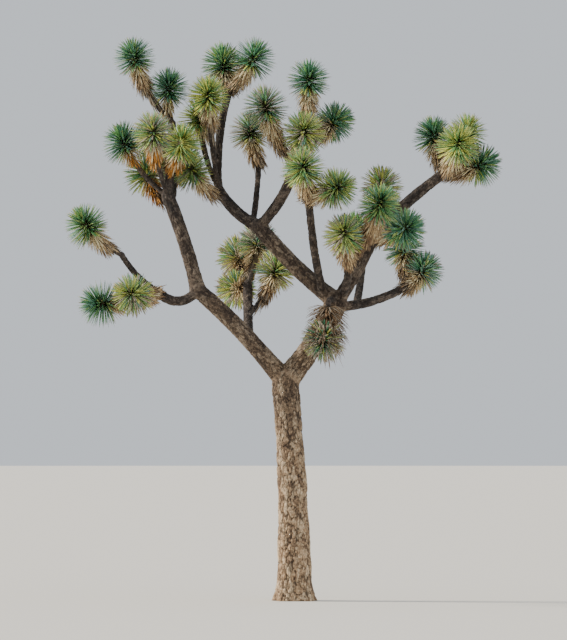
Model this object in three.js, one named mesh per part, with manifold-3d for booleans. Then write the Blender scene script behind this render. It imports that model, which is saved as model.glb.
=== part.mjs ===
// A Joshua tree, Yucca brevifolia, five metres tall and rooted in the ground.
// One trunk forks at head height into two boughs. Every limb ends in stiff tufts of dagger leaves,
// each tuft above a sleeve of dead leaves that hang back along its stalk.
// Millimetres, +Z up. +X is the tree's right side and +Y its far side, as it is seen from the front.
// The origin is the middle of the flat cut under the trunk, at ground level.

import * as THREE from "three";
import { mergeVertices } from "three/addons/utils/BufferGeometryUtils.js";
import Module from "manifold-3d";

const wasm = await Module();
wasm.setup();

// Driving dimensions.
const FORK_HEIGHT = 1960; // ground to the first fork
const FORK_OFFSET = -85; // the fork stands this far to the left of the foot
const TRUNK_RADIUS = 150; // just above the root flare
const FLARE_RADIUS = 205; // at the ground
const FLARE_HEIGHT = 330;
const FLARE_LOBES = 5;
const FLARE_LOBE_DEPTH = 0.12; // share of the radius by which a buttress stands out there
const TRUNK_WAIST = 6; // how much the trunk draws in between the flare and the fork
const TWIG_RADIUS = 28; // wood of a limb that carries one tuft
const PIPE_POWER = 0.4; // a limb's radius grows with the tufts it carries, to this power
const DOME_SHARE = 0.7; // a limb's tip is rounded over this share of its radius
const SEAM = 0.4; // clearance between two pieces that meet

// A tuft is measured from its heart, the middle of the green leaves.
const LEAF_LENGTH = 158; // the part of a leaf that stands out of the crowded leaf bases
const LEAF_HALF_WIDTH = 31; // each solid leaf stands for a spray of real ones
const LEAF_HALF_DEPTH = 12;
const LEAVES_PER_TUFT = 13;
const DEAD_LEAVES_PER_TUFT = 3;
const LEAF_ROOT_SINK = 22; // how deep a leaf's root lies in the core
const FIRST_LEAN = 12; // degrees from a leaf at the tuft's tip to the stem's own direction
const LAST_LEAN = 116; // the same for the lowest green leaf
const DEAD_LEAN = 150; // the same for a dead leaf
const TIP_LEAF_PLACE = 70; // how far past the heart the green leaves begin
const GREEN_SPAN = 120; // how far back along the stem they go on from there
const DEAD_LEAF_PLACE = -75; // where the dead ones begin
const DEAD_SPAN = 115;
const SLEEVE_LENGTH = 330; // dead leaves reach this far back from the heart
const SLEEVE_RADIUS = 90;
const HEART_RADIUS = 78;
const CROWN_TIP = 90; // the core goes on this far past the heart
const BLUNTNESS = 0.3; // the core's tip, as a share of the heart's radius
const NECK_SHARE = 0.12; // least share of a stalk that is bare wood
const STALK_SAG = 0.07; // share of a stalk's length by which it sags, so that its tip turns up
const LEAF_MARGIN = 8; // least clearance from a leaf to another mass or limb

const FINEST_EDGE = 0.2; // slivers finer than this are taken out of the joined masses
const TRUNK_SIDES = 15;
const LIMB_SIDES = 8;
const STALK_SIDES = 6;
const LIMB_STEP_LENGTH = 450; // a limb has three rings of corners and one more for each such length
const SAMPLES = 24; // places along a limb that a leaf is tested against
const GOLDEN_ANGLE = Math.PI * (3 - Math.sqrt(5));

// Limbs. Each grows from a place along its parent, 1 being the tip. Heading is in degrees anticlockwise
// from +X, seen from above, and rise is in degrees above level. Bow is how far the limb's middle lies above
// its chord.
const LIMBS = {
  left_bough: { from: "trunk", heading: 191, rise: 46, length: 1145, bow: 30 },
  right_bough: { from: "trunk", heading: 8, rise: 57, length: 865, bow: -25 },
  left_riser: { from: "left_bough", heading: 160, rise: 71, length: 895, bow: 20 },
  left_low_limb: { from: "left_bough", heading: 209, rise: -2, length: 415, bow: -95 },
  left_tip_limb: { from: "left_low_limb", heading: 206, rise: 43, length: 475, bow: -30 },
  inner_limb: { from: "left_bough", at: 0.45, heading: 91, rise: 43, length: 745, bow: -60 },
  cross_limb: { from: "right_bough", heading: 164, rise: 43, length: 1005, bow: -30 },
  right_reach: { from: "right_bough", heading: -3, rise: 61, length: 670, bow: -15 },
  right_low_limb: { from: "right_bough", at: 0.95, heading: 32, rise: 14, length: 800, bow: -50 },
  droop_limb: { from: "right_bough", at: 0.95, heading: -101, rise: 5, length: 325, bow: 40 },
  crown_limb: { from: "cross_limb", heading: 162, rise: 42, length: 515, bow: -40 },
  centre_limb: { from: "cross_limb", heading: -38, rise: 52, length: 675, bow: -50 },
  centre_left_limb: { from: "crown_limb", at: 0.12, heading: 78, rise: 66, length: 640, bow: -40 },
  front_riser: { from: "cross_limb", at: 0.16, heading: -99, rise: 43, length: 1210, bow: -110 },
  top_limb: { from: "crown_limb", heading: 28, rise: 83, length: 910, bow: 45 },
  centre_right_limb: { from: "centre_limb", heading: 49, rise: 54, length: 330, bow: -15 },
  far_reach: { from: "right_reach", heading: -11, rise: 41, length: 865, bow: 25 },
  front_bough: { from: "right_reach", at: 0.14, heading: -85, rise: 23, length: 630, bow: -70 },
  back_bough: { from: "right_low_limb", at: 0.28, heading: 84, rise: 35, length: 850, bow: -80 },
  left_spire: { from: "left_riser", heading: 66, rise: 83, length: 675, bow: -25 },
  back_left_limb: { from: "left_riser", at: 0.94, heading: 88, rise: 22, length: 610, bow: -60 },
};

// Masses of tufts. A single stalk runs straight on and a pair forks by the spread to either side. Of three
// or more, the first runs on and the rest stand round it. Roll turns the ring of stalks about the mass's own
// direction, and thatch is how wide the dead leaves hang, as a share of the usual.
const MASSES = {
  far_left_mass: { from: "left_tip_limb", heading: 198, rise: 38, stalks: [405] },
  low_left_mass: {
    from: "left_low_limb", heading: 206, rise: -10, spread: 20, roll: -99, stalks: [505, 300],
  },
  shoulder_mass: { from: "left_riser", heading: 164, rise: 50, stalks: [630] },
  shoulder_low_mass: { from: "left_riser", at: 0.85, heading: 130, rise: 41, stalks: [520] },
  shoulder_front_mass: { from: "left_riser", heading: 253, rise: 53, stalks: [680] },
  spire_mass: { from: "left_spire", heading: 173, rise: 72, spread: 13, roll: -26, stalks: [300, 665] },
  spire_front_mass: { from: "left_spire", at: 0.3, heading: -62, rise: 50, stalks: [335] },
  crown_left_mass: {
    from: "crown_limb", heading: 250, rise: 60, spread: 9, roll: -50, stalks: [690, 990],
  },
  crown_low_mass: { from: "crown_limb", at: 0.7, heading: 207, rise: 38, stalks: [470] },
  top_mass: { from: "top_limb", heading: 42, rise: 71, spread: 30, roll: -103, stalks: [350, 280] },
  centre_mass: {
    from: "centre_limb", heading: 257, rise: 52, spread: 23, roll: -61, stalks: [610, 455],
  },
  centre_left_mass: { from: "centre_left_limb", heading: 136, rise: 68, stalks: [280] },
  centre_right_mass: {
    from: "centre_right_limb", heading: 49, rise: 56, spread: 31, roll: 6, stalks: [520, 360],
  },
  front_riser_mass: {
    from: "front_riser", heading: -58, rise: 36, spread: 36, roll: -54, stalks: [295, 280],
  },
  front_mass: {
    from: "front_bough", heading: 281, rise: 44, spread: 16, roll: -107, stalks: [400, 690],
  },
  inside_right_mass: { from: "right_reach", heading: -48, rise: 8, stalks: [400] },
  behind_right_mass: { from: "far_reach", at: 0.2, heading: 97, rise: 49, stalks: [440] },
  far_right_mass: {
    from: "far_reach", heading: 12, rise: 60, spread: 48, roll: 45, stalks: [400, 400, 360, 350],
  },
  low_right_mass: {
    from: "right_low_limb", heading: 65, rise: 46, spread: 20, roll: 60, stalks: [440, 250],
  },
  droop_mass: { from: "droop_limb", heading: 241, rise: -76, thatch: 1.3, stalks: [340] },
  back_mass: { from: "back_bough", heading: 79, rise: 39, spread: 19, roll: 104, stalks: [390, 530] },
  back_left_mass: {
    from: "back_left_limb", heading: 105, rise: 45, spread: 24, roll: -127, stalks: [390, 445],
  },
  inner_mass: {
    from: "inner_limb", heading: 97, rise: 20, spread: 30, roll: -30, stalks: [790, 545, 300],
  },
  inner_right_mass: { from: "inner_limb", at: 0.5, heading: 54, rise: 45, stalks: [590] },
};

const bark = new THREE.MeshStandardMaterial({ color: 0x7d6a58, roughness: 0.95, metalness: 0 });
const foliage = new THREE.MeshStandardMaterial({ color: 0x7c8a54, roughness: 0.7, metalness: 0 });

const UP = new THREE.Vector3(0, 0, 1);

// Repeatable random numbers from 0 to 1.
function randomFrom(seed) {
  let state = seed;
  return () => {
    state = (state + 0x6d2b79f5) | 0;
    let mixed = Math.imul(state ^ (state >>> 15), 1 | state);
    mixed = (mixed + Math.imul(mixed ^ (mixed >>> 7), 61 | mixed)) ^ mixed;
    return ((mixed ^ (mixed >>> 14)) >>> 0) / 4294967296;
  };
}

function towards(heading, rise) {
  const turn = THREE.MathUtils.degToRad(heading);
  const climb = THREE.MathUtils.degToRad(rise);
  const level = Math.cos(climb);
  return new THREE.Vector3(Math.cos(turn) * level, Math.sin(turn) * level, Math.sin(climb));
}

// The level direction square to a limb, and to its whole bent line, because a limb bows in an upright plane.
function sideOf(direction) {
  const side = new THREE.Vector3().crossVectors(UP, direction);
  return side.lengthSq() < 1e-6 ? new THREE.Vector3(1, 0, 0) : side.normalize();
}

// A bent line from start, with its middle bow above the chord.
function bentLine(start, direction, length, bow) {
  const side = sideOf(direction);
  const end = start.clone().addScaledVector(direction, length);
  const above = new THREE.Vector3().crossVectors(direction, side);
  const control = start.clone().add(end).multiplyScalar(0.5).addScaledVector(above, 2 * bow);
  return { curve: new THREE.QuadraticBezierCurve3(start, control, end), side };
}

// A closed tube along a bent line. A station is a share of the way, a radius, and a distance past that
// place. A lobe makes the section wavy there.
function tube(line, stations, sides, lobes = 0) {
  const last = stations.length - 1;
  const geometry = new THREE.CylinderGeometry(1, 1, 1, sides, last);
  const place = geometry.attributes.position;
  const local = new THREE.Vector3();
  for (let i = 0; i < place.count; i++) {
    local.fromBufferAttribute(place, i);
    const station = stations[Math.round((local.y + 0.5) * last)];
    const tangent = line.curve.getTangentAt(station.share);
    const across = new THREE.Vector3().crossVectors(line.side, tangent);
    const wave = 1 + (station.lobe ?? 0) * Math.cos(lobes * Math.atan2(local.z, local.x));
    const point = line.curve.getPointAt(station.share).addScaledVector(tangent, station.past ?? 0);
    point.addScaledVector(line.side, local.x * station.radius * wave);
    point.addScaledVector(across, local.z * station.radius * wave);
    place.setXYZ(i, point.x, point.y, point.z);
  }
  return geometry;
}

// A closed geometry as a solid to join or cut.
function solidOf(geometry) {
  geometry.deleteAttribute("normal");
  geometry.deleteAttribute("uv");
  const merged = mergeVertices(geometry, 1e-3);
  const triVerts = new Uint32Array(merged.index.array);
  const vertProperties = merged.attributes.position.array;
  return new wasm.Manifold(new wasm.Mesh({ numProp: 3, vertProperties, triVerts }));
}

function meshOf(name, solid, material) {
  const made = solid.getMesh();
  const geometry = new THREE.BufferGeometry();
  geometry.setAttribute("position", new THREE.BufferAttribute(made.vertProperties, 3));
  geometry.setIndex(new THREE.BufferAttribute(made.triVerts, 1));
  geometry.computeVertexNormals();
  const mesh = new THREE.Mesh(geometry, material);
  mesh.name = name;
  return mesh;
}

// The largest body of a solid. What a cut leaves loose is dropped.
function largestBody(solid) {
  return solid.decompose().reduce((best, body) => (body.volume() > best.volume() ? body : best));
}

// Tufts that a limb carries, through all that grows from it beyond a place along it.
function tuftsCarried(name, beyond = 0) {
  const isHere = (piece) => piece.from === name && (piece.at ?? 1) >= beyond;
  const onLimbs = Object.entries(LIMBS)
    .filter(([, limb]) => isHere(limb))
    .reduce((sum, [child]) => sum + tuftsCarried(child), 0);
  return Object.values(MASSES)
    .filter(isHere)
    .reduce((sum, mass) => sum + mass.stalks.length, onLimbs);
}

const woodRadius = (tufts) => TWIG_RADIUS * Math.max(1, tufts) ** PIPE_POWER;

// A limb's rounded tip, as stations past its end.
const domeStations = (radius) => [
  { share: 1, radius },
  { share: 1, radius: radius * 0.55, past: radius * DOME_SHARE },
];

// The trunk's line, upright at the ground. It starts below ground, where the flat cut takes it off.
function trunkLine() {
  const belowGround = 20;
  const start = new THREE.Vector3(0, 0, -belowGround);
  const control = new THREE.Vector3(0, 0, FORK_HEIGHT * 0.55);
  const end = new THREE.Vector3(FORK_OFFSET, 0, FORK_HEIGHT);
  return { curve: new THREE.QuadraticBezierCurve3(start, control, end), side: new THREE.Vector3(0, 1, 0) };
}

function trunkStations(topRadius, grow) {
  const stations = [];
  const flareSteps = 4;
  const shaftSteps = 7;
  const flareShare = FLARE_HEIGHT / FORK_HEIGHT;
  for (let i = 0; i < flareSteps; i++) {
    const spread = (1 - i / flareSteps) ** 2;
    const radius = THREE.MathUtils.lerp(TRUNK_RADIUS, FLARE_RADIUS, spread) + grow;
    stations.push({ share: (flareShare * i) / flareSteps, radius, lobe: FLARE_LOBE_DEPTH * spread });
  }
  for (let i = 0; i < shaftSteps; i++) {
    const along = i / shaftSteps;
    const share = THREE.MathUtils.lerp(flareShare, 1, along);
    const waist = Math.sin(along * Math.PI) * TRUNK_WAIST;
    const radius = THREE.MathUtils.lerp(TRUNK_RADIUS, topRadius, along ** 0.8) - waist + grow;
    stations.push({ share, radius });
  }
  return [...stations, ...domeStations(topRadius + grow)];
}

function limbStations(rootRadius, tipRadius, steps, grow) {
  const stations = [];
  for (let i = 0; i < steps; i++) {
    const share = i / steps;
    const past = i === 0 ? -grow : 0;
    stations.push({ share, radius: THREE.MathUtils.lerp(rootRadius, tipRadius, share) + grow, past });
  }
  return [...stations, ...domeStations(tipRadius + grow)];
}

// The trunk and limbs, each with its line, its solid and points along it, cut clear of the ones before it.
function growLimbs() {
  const topRadius = woodRadius(tuftsCarried("trunk"));
  const line = trunkLine();
  const stations = trunkStations(topRadius, 0);
  const trunkTube = (grow) => {
    const geometry = tube(line, trunkStations(topRadius, grow), TRUNK_SIDES, FLARE_LOBES);
    return solidOf(geometry).trimByPlane([0, 0, 1], 0);
  };
  const samples = samplesOf(line, stations);
  const grown = { trunk: { line, solid: trunkTube(0), cutter: trunkTube(SEAM), samples } };
  for (const [name, limb] of Object.entries(LIMBS)) {
    const start = grown[limb.from].line.curve.getPointAt(limb.at ?? 1);
    const limbLine = bentLine(start, towards(limb.heading, limb.rise), limb.length, limb.bow);
    const rootRadius = woodRadius(tuftsCarried(name));
    const tipRadius = woodRadius(tuftsCarried(name, 0.9));
    const steps = 3 + Math.round(limb.length / LIMB_STEP_LENGTH);
    const limbTube = (grow) =>
      solidOf(tube(limbLine, limbStations(rootRadius, tipRadius, steps, grow), LIMB_SIDES));
    const cut = Object.values(grown).reduce((solid, other) => solid.subtract(other.cutter), limbTube(0));
    grown[name] = {
      line: limbLine,
      solid: largestBody(cut),
      cutter: limbTube(SEAM),
      samples: samplesOf(limbLine, limbStations(rootRadius, tipRadius, steps, 0)),
    };
  }
  return grown;
}

// The stalks of one mass, each a bent line from its limb to the heart of its tuft.
function stalksOf(mass, parent) {
  const start = parent.line.curve.getPointAt(mass.at ?? 1);
  const ahead = towards(mass.heading, mass.rise);
  const side = sideOf(ahead);
  const hasLeader = mass.stalks.length !== 2;
  const ring = mass.stalks.length - (hasLeader ? 1 : 0);
  return mass.stalks.map((length, i) => {
    const direction = ahead.clone();
    if (!hasLeader || i > 0) {
      const step = hasLeader ? i - 1 : i;
      const turn = THREE.MathUtils.degToRad(mass.roll) + (2 * Math.PI * step) / ring;
      const hinge = side.clone().applyAxisAngle(ahead, -turn);
      direction.applyAxisAngle(hinge, -THREE.MathUtils.degToRad(mass.spread));
    }
    const line = bentLine(start, direction, length, -STALK_SAG * length);
    const stations = stalkStations(length, mass.thatch ?? 1);
    const heart = line.curve.getPointAt(1);
    return { line, stations, heart, axis: line.curve.getTangentAt(1), samples: samplesOf(line, stations) };
  });
}

// A stalk's own solid: bare wood, then the sleeve of dead leaves, then the heart, out of which the green
// leaves stand.
function stalkStations(length, thatch) {
  const sleeveStart = Math.max(NECK_SHARE, 1 - SLEEVE_LENGTH / length);
  const widest = THREE.MathUtils.lerp(sleeveStart, 1, 0.4);
  return [
    { share: 0, radius: TWIG_RADIUS * 0.8 },
    { share: sleeveStart, radius: TWIG_RADIUS },
    { share: widest, radius: SLEEVE_RADIUS * thatch },
    { share: 1, radius: SLEEVE_RADIUS, past: -CROWN_TIP / 2 },
    { share: 1, radius: HEART_RADIUS, past: CROWN_TIP / 3 },
    { share: 1, radius: HEART_RADIUS * BLUNTNESS, past: CROWN_TIP },
  ];
}

// Points along a tube with its radius there, close enough together to test a leaf against it.
function samplesOf(line, stations) {
  const samples = [];
  for (let i = 0; i <= SAMPLES; i++) {
    const share = i / SAMPLES;
    const next = Math.max(1, stations.findIndex((station) => station.share >= share));
    const [before, after] = [stations[next - 1], stations[next]];
    const between = (share - before.share) / (after.share - before.share);
    const radius = THREE.MathUtils.lerp(before.radius, after.radius, between);
    samples.push({ at: line.curve.getPointAt(share), radius });
  }
  return samples;
}

// One leaf, a three-sided spike from its root, flat side to the stem.
function leafSpike(root, direction, outward, length) {
  const geometry = new THREE.ConeGeometry(1, 1, 3, 1);
  geometry.translate(0, 0.5, 0);
  geometry.scale(LEAF_HALF_WIDTH, length, LEAF_HALF_DEPTH);
  const width = new THREE.Vector3().crossVectors(direction, outward).normalize();
  const depth = new THREE.Vector3().crossVectors(width, direction);
  geometry.applyMatrix4(new THREE.Matrix4().makeBasis(width, direction, depth).setPosition(root));
  return geometry;
}

// Places for a tuft's leaves. The green ones stand evenly round, from near straight ahead to a little back,
// and the dead ones point back along the sleeve.
function leavesOf(stalk, random) {
  const leaves = [];
  const { heart, axis } = stalk;
  const firstCosine = Math.cos(THREE.MathUtils.degToRad(FIRST_LEAN));
  const lastCosine = Math.cos(THREE.MathUtils.degToRad(LAST_LEAN));
  for (let i = 0; i < LEAVES_PER_TUFT + DEAD_LEAVES_PER_TUFT; i++) {
    const outward = stalk.line.side.clone().applyAxisAngle(axis, i * GOLDEN_ANGLE + 0.3 * random());
    const isDead = i >= LEAVES_PER_TUFT;
    let rank = (i + 0.5) / LEAVES_PER_TUFT;
    let lean = Math.acos(THREE.MathUtils.lerp(firstCosine, lastCosine, Math.min(1, rank)));
    let place = TIP_LEAF_PLACE - GREEN_SPAN * rank;
    let coreRadius = HEART_RADIUS * THREE.MathUtils.lerp(BLUNTNESS, 1, Math.sqrt(rank));
    if (isDead) {
      rank = (i - LEAVES_PER_TUFT + 0.5) / DEAD_LEAVES_PER_TUFT;
      lean = THREE.MathUtils.degToRad(DEAD_LEAN);
      place = DEAD_LEAF_PLACE - DEAD_SPAN * rank;
      coreRadius = SLEEVE_RADIUS;
    }
    lean += 0.12 * (random() - 0.5);
    const direction = axis.clone().multiplyScalar(Math.cos(lean)).addScaledVector(outward, Math.sin(lean));
    const root = heart.clone().addScaledVector(axis, place);
    root.addScaledVector(outward, coreRadius - LEAF_ROOT_SINK);
    leaves.push({ root, direction, outward, length: LEAF_LENGTH * (0.92 + 0.16 * random()) });
  }
  return leaves;
}

// Whether a leaf stays nearer to its own mass's hearts than to any other's, and off every limb and every
// other mass's stalks.
function leafFits(leaf, ownHearts, otherHearts, foreign) {
  return [0.4, 0.7, 1].every((share) => {
    const point = leaf.root.clone().addScaledVector(leaf.direction, leaf.length * share);
    const nearest = Math.min(...ownHearts.map((heart) => heart.distanceTo(point)));
    const reach = LEAF_MARGIN + LEAF_HALF_WIDTH * (1 - share);
    if (otherHearts.some((heart) => heart.distanceTo(point) < nearest + 2 * reach)) return false;
    return foreign.every(({ at, radius }) => at.distanceTo(point) > radius + reach);
  });
}

// The masses of tufts, each fused into one solid that keeps to its own space and is cut clear of the limbs.
function growMasses(limbs) {
  const parts = Object.entries(MASSES).map(([name, mass]) => {
    return { name, stalks: stalksOf(mass, limbs[mass.from]) };
  });
  const woods = Object.values(limbs);
  const random = randomFrom(7);
  return parts.map((part) => {
    const others = parts.filter((other) => other !== part).flatMap((other) => other.stalks);
    const ownHearts = part.stalks.map((stalk) => stalk.heart);
    const otherHearts = others.map((stalk) => stalk.heart);
    const foreign = [...woods, ...others].flatMap((piece) => piece.samples);
    const pieces = [];
    for (const stalk of part.stalks) {
      pieces.push(solidOf(tube(stalk.line, stalk.stations, STALK_SIDES)));
      for (const leaf of leavesOf(stalk, random)) {
        if (!leafFits(leaf, ownHearts, otherHearts, foreign)) continue;
        pieces.push(solidOf(leafSpike(leaf.root, leaf.direction, leaf.outward, leaf.length)));
      }
    }
    const joined = pieces.reduce((solid, piece) => solid.add(piece));
    const cut = woods.reduce((solid, wood) => solid.subtract(wood.cutter), joined);
    return { name: part.name, solid: largestBody(cut).simplify(FINEST_EDGE) };
  });
}

const limbs = growLimbs();
const masses = growMasses(limbs);

const tree = new THREE.Group();
for (const [name, limb] of Object.entries(limbs)) tree.add(meshOf(name, limb.solid, bark));
for (const mass of masses) tree.add(meshOf(mass.name, mass.solid, foliage));

export default tree;
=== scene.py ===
"""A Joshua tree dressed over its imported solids: fissured bark, dagger leaves and sleeves of dead leaves."""

import math
import random

import bmesh
import bpy
import numpy as np
from mathutils import Matrix, Vector, noise


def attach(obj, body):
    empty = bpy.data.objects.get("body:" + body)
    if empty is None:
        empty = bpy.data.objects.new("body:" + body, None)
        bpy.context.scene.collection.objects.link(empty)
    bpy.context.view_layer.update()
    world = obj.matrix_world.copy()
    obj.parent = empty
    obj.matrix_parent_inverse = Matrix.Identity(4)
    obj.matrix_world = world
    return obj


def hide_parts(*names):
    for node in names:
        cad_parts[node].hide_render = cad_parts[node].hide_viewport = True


bl_info = {
    "name": "Joshua tree",
    "version": (1, 0, 0),
    "blender": (4, 5, 0),
    "location": "View3D > Sidebar > Joshua tree",
    "description": "Grows the bark, the living leaves and the dead leaves of a Joshua tree over its solids",
    "category": "Add Mesh",
}

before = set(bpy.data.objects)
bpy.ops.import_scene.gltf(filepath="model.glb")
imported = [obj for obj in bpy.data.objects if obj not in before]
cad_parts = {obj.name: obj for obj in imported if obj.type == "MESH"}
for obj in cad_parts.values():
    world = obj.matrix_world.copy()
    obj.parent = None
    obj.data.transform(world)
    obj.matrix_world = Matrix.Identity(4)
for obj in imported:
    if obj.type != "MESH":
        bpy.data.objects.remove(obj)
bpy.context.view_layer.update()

# The tree's plan, in millimetres and degrees, the same as the solids'. A limb grows from a place along
# its parent, with its heading, its rise, its length and how far its middle lies above its chord.
LIMBS = {
    "left_bough": ("trunk", 1, 191, 46, 1145, 30),
    "right_bough": ("trunk", 1, 8, 57, 865, -25),
    "left_riser": ("left_bough", 1, 160, 71, 895, 20),
    "left_low_limb": ("left_bough", 1, 209, -2, 415, -95),
    "left_tip_limb": ("left_low_limb", 1, 206, 43, 475, -30),
    "inner_limb": ("left_bough", 0.45, 91, 43, 745, -60),
    "cross_limb": ("right_bough", 1, 164, 43, 1005, -30),
    "right_reach": ("right_bough", 1, -3, 61, 670, -15),
    "right_low_limb": ("right_bough", 0.95, 32, 14, 800, -50),
    "droop_limb": ("right_bough", 0.95, -101, 5, 325, 40),
    "crown_limb": ("cross_limb", 1, 162, 42, 515, -40),
    "centre_limb": ("cross_limb", 1, -38, 52, 675, -50),
    "centre_left_limb": ("crown_limb", 0.12, 78, 66, 640, -40),
    "front_riser": ("cross_limb", 0.16, -99, 43, 1210, -110),
    "top_limb": ("crown_limb", 1, 28, 83, 910, 45),
    "centre_right_limb": ("centre_limb", 1, 49, 54, 330, -15),
    "far_reach": ("right_reach", 1, -11, 41, 865, 25),
    "front_bough": ("right_reach", 0.14, -85, 23, 630, -70),
    "back_bough": ("right_low_limb", 0.28, 84, 35, 850, -80),
    "left_spire": ("left_riser", 1, 66, 83, 675, -25),
    "back_left_limb": ("left_riser", 0.94, 88, 22, 610, -60),
}

# A mass grows from a place along its limb, with its heading, its rise, the spread and roll of its
# stalks, and their lengths.
MASSES = {
    "far_left_mass": ("left_tip_limb", 1, 198, 38, 0, 0, [405]),
    "low_left_mass": ("left_low_limb", 1, 206, -10, 20, -99, [505, 300]),
    "shoulder_mass": ("left_riser", 1, 164, 50, 0, 0, [630]),
    "shoulder_low_mass": ("left_riser", 0.85, 130, 41, 0, 0, [520]),
    "shoulder_front_mass": ("left_riser", 1, 253, 53, 0, 0, [680]),
    "spire_mass": ("left_spire", 1, 173, 72, 13, -26, [300, 665]),
    "spire_front_mass": ("left_spire", 0.3, -62, 50, 0, 0, [335]),
    "crown_left_mass": ("crown_limb", 1, 250, 60, 9, -50, [690, 990]),
    "crown_low_mass": ("crown_limb", 0.7, 207, 38, 0, 0, [470]),
    "top_mass": ("top_limb", 1, 42, 71, 30, -103, [350, 280]),
    "centre_mass": ("centre_limb", 1, 257, 52, 23, -61, [610, 455]),
    "centre_left_mass": ("centre_left_limb", 1, 136, 68, 0, 0, [280]),
    "centre_right_mass": ("centre_right_limb", 1, 49, 56, 31, 6, [520, 360]),
    "front_riser_mass": ("front_riser", 1, -58, 36, 36, -54, [295, 280]),
    "front_mass": ("front_bough", 1, 281, 44, 16, -107, [400, 690]),
    "inside_right_mass": ("right_reach", 1, -48, 8, 0, 0, [400]),
    "behind_right_mass": ("far_reach", 0.2, 97, 49, 0, 0, [440]),
    "far_right_mass": ("far_reach", 1, 12, 60, 48, 45, [400, 400, 360, 350]),
    "low_right_mass": ("right_low_limb", 1, 65, 46, 20, 60, [440, 250]),
    "droop_mass": ("droop_limb", 1, 241, -76, 0, 0, [340]),
    "back_mass": ("back_bough", 1, 79, 39, 19, 104, [390, 530]),
    "back_left_mass": ("back_left_limb", 1, 105, 45, 24, -127, [390, 445]),
    "inner_mass": ("inner_limb", 1, 97, 20, 30, -30, [790, 545, 300]),
    "inner_right_mass": ("inner_limb", 0.5, 54, 45, 0, 0, [590]),
}

MM = 0.001
UP = Vector((0, 0, 1))
GOLDEN_ANGLE = math.pi * (3 - math.sqrt(5))

TRUNK_START = -20 * MM
TRUNK_BEND = 0.55  # the share of its height at which the trunk starts to lean
FORK_HEIGHT = 1960 * MM
FORK_OFFSET = -85 * MM
TRUNK_RADIUS = 150 * MM
FLARE_RADIUS = 205 * MM
FLARE_HEIGHT = 330 * MM
FLARE_LOBES = 5
FLARE_LOBE_DEPTH = 0.12
TWIG_RADIUS = 28 * MM
PIPE_POWER = 0.4  # how fast a limb thickens with the tufts it carries
TIP_SHARE = 0.9  # what grows beyond this share of a limb grows from its tip
SLEEVE_LENGTH = 330 * MM
STALK_SAG = 0.07

# What the scene adds to the plan: the trunk's slight waist, how far its tube is buried before it is cut
# level, and how much a limb swells where it leaves its parent.
TRUNK_WAIST = 6 * MM
BURIED = 60 * MM
ROOT_SWELLING = 0.24

# trunk_bark ends at a height below the fork, and left_bark meets right_bark at a place across the tree.
# The left bark carries these limbs and the left leaves these masses, so that no piece is too large. The
# rest are the right pieces'.
BARK_SPLIT_HEIGHT = 1.78
BARK_SPLIT_ACROSS = -0.3
LEFT_LIMBS = [
    "left_bough",
    "left_riser",
    "left_low_limb",
    "left_tip_limb",
    "inner_limb",
    "left_spire",
    "back_left_limb",
    "crown_limb",
    "top_limb",
    "centre_left_limb",
]
LEFT_MASSES = [
    "far_left_mass",
    "low_left_mass",
    "shoulder_mass",
    "shoulder_low_mass",
    "shoulder_front_mass",
    "spire_mass",
    "spire_front_mass",
    "back_left_mass",
    "inner_mass",
    "inner_right_mass",
    "crown_left_mass",
    "crown_low_mass",
]

# How often a tuft's leaf takes each living colour: green, dark, blue, olive, yellowing and bleached.
LEAF_MIXES = {
    "fresh": (6, 3, 1, 3, 1, 0),
    "dark": (3, 7, 3, 1, 0, 0),
    "blue": (2, 4, 7, 1, 0, 1),
    "olive": (3, 1, 1, 7, 2, 1),
    "yellow": (4, 0, 0, 4, 6, 0),
    "pale": (2, 0, 1, 5, 3, 4),
    "grey": (2, 1, 3, 2, 0, 7),
    "withered": (0, 3, 1, 1, 1, 8),
}

YELLOWING, BLEACHED = 4, 5  # the last two of those colours, which the oldest leaves take

# The mixes of a mass's tufts, in the order of its stalks. The rest are fresh.
TUFT_MIXES = {
    "low_left_mass": ["dark", "pale"],
    "shoulder_mass": ["dark"],
    "shoulder_low_mass": ["olive"],
    "shoulder_front_mass": ["pale"],
    "spire_mass": ["dark", "dark"],
    "spire_front_mass": ["yellow"],
    "crown_left_mass": ["yellow", "yellow"],
    "crown_low_mass": ["olive"],
    "top_mass": ["dark", "fresh"],
    "centre_mass": ["grey", "pale"],
    "centre_left_mass": ["grey"],
    "centre_right_mass": ["dark", "dark"],
    "front_riser_mass": ["olive", "olive"],
    "front_mass": ["pale", "fresh"],
    "inside_right_mass": ["dark"],
    "behind_right_mass": ["pale"],
    "far_right_mass": ["olive", "dark", "dark", "yellow"],
    "low_right_mass": ["blue", "blue"],
    "droop_mass": ["withered"],
    "inner_mass": ["pale", "grey", "pale"],
    "inner_right_mass": ["pale"],
}

# Masses whose dead leaves are browner or redder than straw.
THATCHES = {
    "low_left_mass": "tan",
    "shoulder_mass": "rust",
    "shoulder_low_mass": "rust",
    "shoulder_front_mass": "rust",
    "spire_front_mass": "rust",
    "front_mass": "tan",
    "droop_mass": "brown",
}

# Sleeves that stand out further, or run further down their stalks, than usual: both as shares of the usual.
SHAGGY_SLEEVES = {
    "low_left_mass": (1.35, 1.0),
    "centre_mass": (1.25, 1.6),
    "centre_right_mass": (1.15, 1.3),
    "front_riser_mass": (1.15, 1.0),
    "front_mass": (1.3, 1.4),
    "far_right_mass": (1.15, 1.15),
    "inner_mass": (1.1, 1.3),
    "droop_mass": (1.9, 1.75),
}


def linear(code):
    """An sRGB hex colour as Blender's linear red, green and blue."""
    parts = [int(code[i : i + 2], 16) / 255 for i in (1, 3, 5)]
    return tuple(c / 12.92 if c <= 0.04045 else ((c + 0.055) / 1.055) ** 2.4 for c in parts)


# How the tree grows.


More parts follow.
